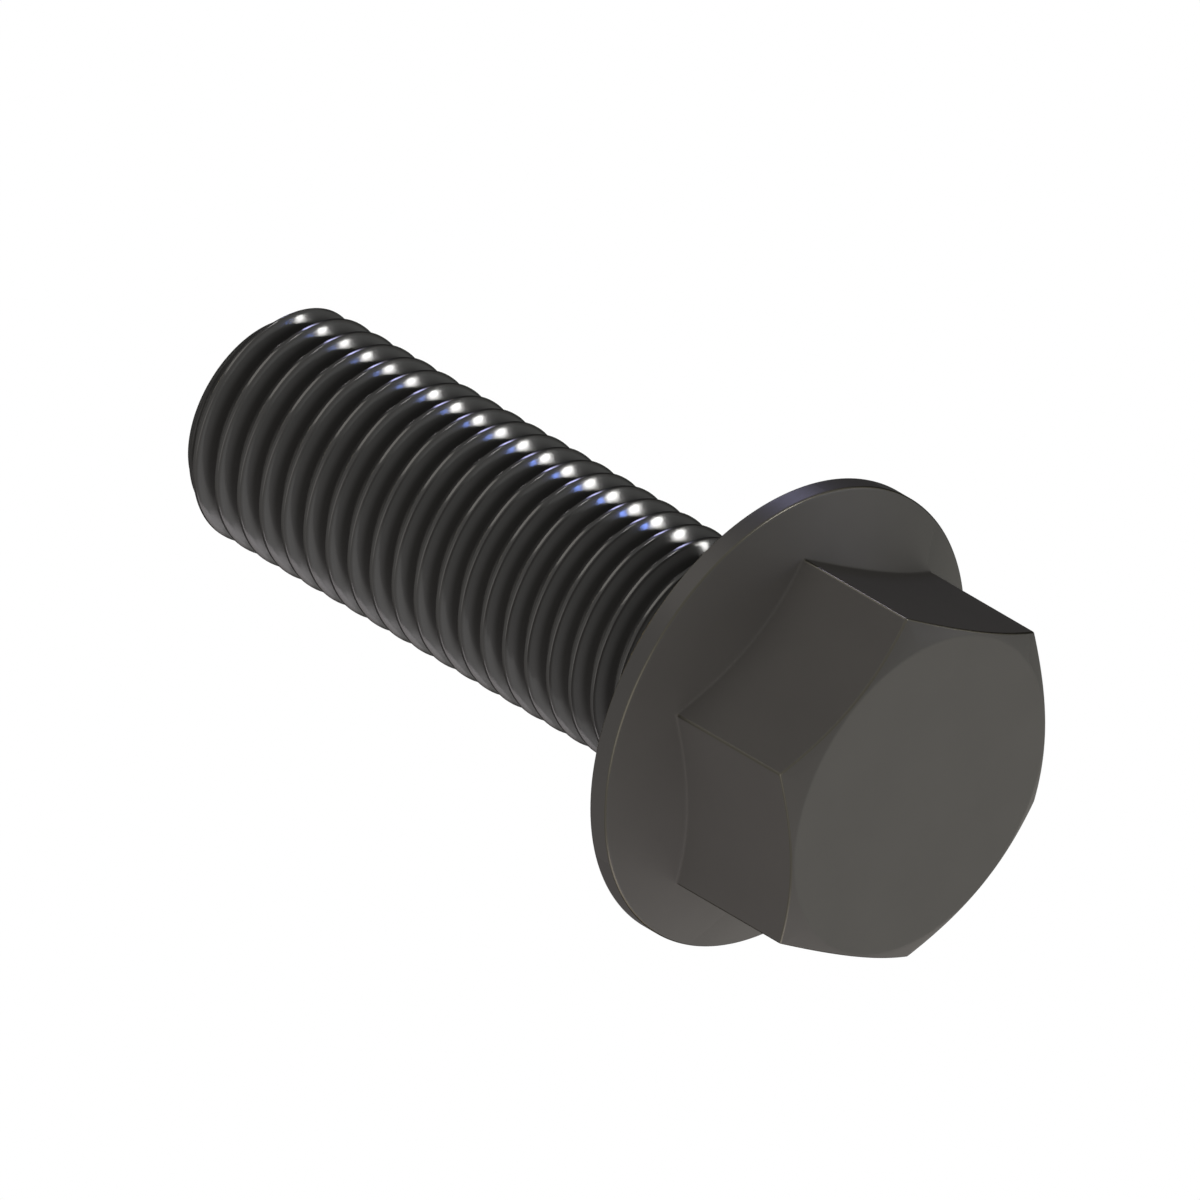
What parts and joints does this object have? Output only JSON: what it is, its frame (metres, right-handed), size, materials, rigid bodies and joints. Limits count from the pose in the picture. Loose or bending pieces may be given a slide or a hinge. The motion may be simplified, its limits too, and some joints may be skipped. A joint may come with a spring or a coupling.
{
  "type": "flange bolt",
  "caption": "Hexagon head bolt with a round conical flange, threaded along its shank, in black steel.",
  "frame": {"origin": "centre of the flange's bearing face, on the bolt's axis", "axes": "+Z along the shank towards its end, with the head below; two corners of the hexagon lie on +Y and -Y"},
  "size_m": [0.024, 0.024, 0.0447],
  "materials": {
    "black_steel": "black oxide, lightly oiled, satin on the head and glossy on the rolled thread"
  },
  "bodies": {
    "root": {"flange_bolt": "black_steel"}
  },
  "joints": []
}
